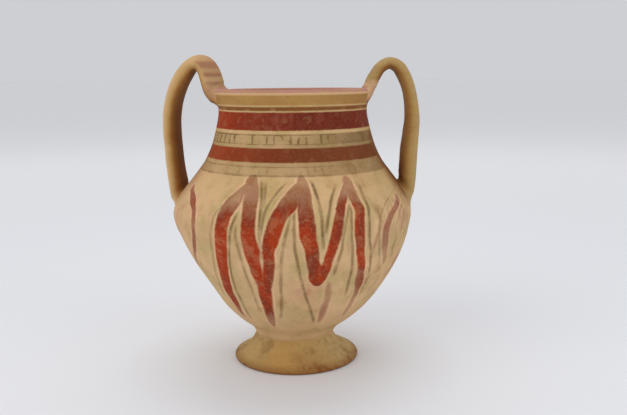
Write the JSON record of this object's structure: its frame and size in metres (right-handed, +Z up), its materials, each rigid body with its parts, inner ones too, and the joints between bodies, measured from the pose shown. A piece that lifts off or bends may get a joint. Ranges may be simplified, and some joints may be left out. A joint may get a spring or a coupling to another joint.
{
  "type": "drinking cup",
  "caption": "Fired clay drinking cup: tall flaring neck, ovoid bowl, narrow stem, hollow spreading foot and high-swung strap handles, painted with red bands and arches.",
  "frame": {"origin": "on the floor under the middle of the foot, on the bowl's turning axis, which is within 1.5 mm of the middle of the box round cup and handles", "axes": "+Z up along the bowl's turning axis; the handles stand out along about -X and +X, and the painted front faces -Y"},
  "size_m": [0.1677, 0.1544, 0.1982],
  "materials": {
    "fired_clay": "matt buff slip over fired clay, painted in red and dark brown, worn and stained"
  },
  "bodies": {
    "root": {"cup": "fired_clay"}
  },
  "joints": []
}
